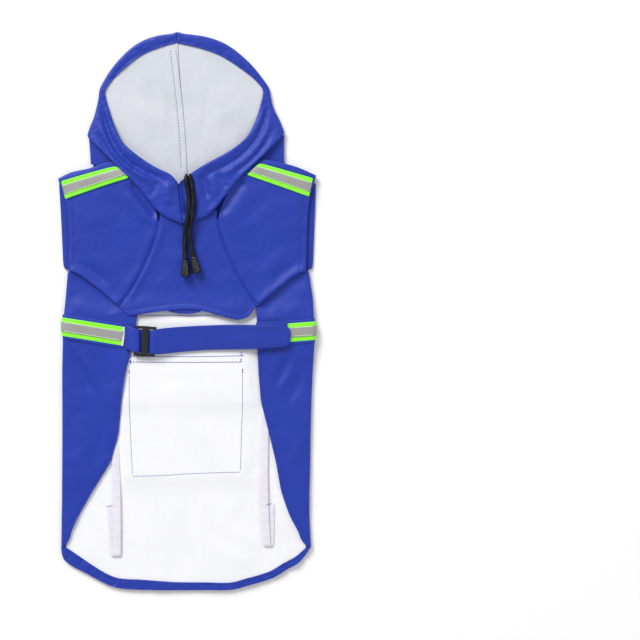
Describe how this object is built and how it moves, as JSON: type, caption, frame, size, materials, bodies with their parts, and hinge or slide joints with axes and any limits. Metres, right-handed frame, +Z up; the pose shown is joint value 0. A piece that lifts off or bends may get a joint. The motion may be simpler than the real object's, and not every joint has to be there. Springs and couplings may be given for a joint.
{
  "type": "dog raincoat",
  "caption": "Hooded dog raincoat laid flat, belly side up: coated cloth, white lining, reflective tapes, waist belt with slide buckle, drawstring, leg loops and a back pocket.",
  "frame": {"origin": "middle of the coat's outline, on the surface that it lies on", "axes": "+Y from the hem to the hood, +Z up from the surface to the belly side, +X across the coat to the right of the picture"},
  "size_m": [0.2582, 0.5564, 0.0176],
  "materials": {
    "cloth": "blue coated rain cloth, soft sheen",
    "lining": "white knitted lining, matt",
    "tape": "fluorescent lime woven tape",
    "film": "grey retroreflective film on the tape",
    "elastic": "white woven elastic",
    "cord": "black braided cord",
    "plastic": "black moulded plastic, satin"
  },
  "bodies": {
    "root": {"back": "cloth", "back_lining": "lining", "pocket": "cloth", "pocket_flap": "cloth", "waist_tape_back": "tape", "waist_film_back": "film", "bottom_hem": "cloth", "hood_seam_tape": "lining", "front_left": "cloth", "front_right": "cloth", "chest": "cloth", "chest_facing": "cloth", "buckle": "plastic", "belt_left": "cloth", "belt_right": "cloth", "flap_left": "cloth", "flap_right": "cloth", "waist_tape_left": "tape", "waist_tape_right": "tape", "waist_film_left": "film", "waist_film_right": "film", "shoulder_tape_left": "tape", "shoulder_tape_right": "tape", "shoulder_film_left": "film", "shoulder_film_right": "film", "sleeve_hem_left": "cloth", "sleeve_hem_right": "cloth", "hood_left": "cloth", "hood_right": "cloth", "hood_lining_left": "lining", "hood_lining_right": "lining", "hood_front_left": "cloth", "hood_front_right": "cloth", "hood_neck_left": "cloth", "hood_neck_right": "cloth", "elastic_left": "elastic", "elastic_right": "elastic", "cord_left": "cord", "cord_right": "cord", "cord_end_left": "plastic", "cord_end_right": "plastic"}
  },
  "joints": []
}
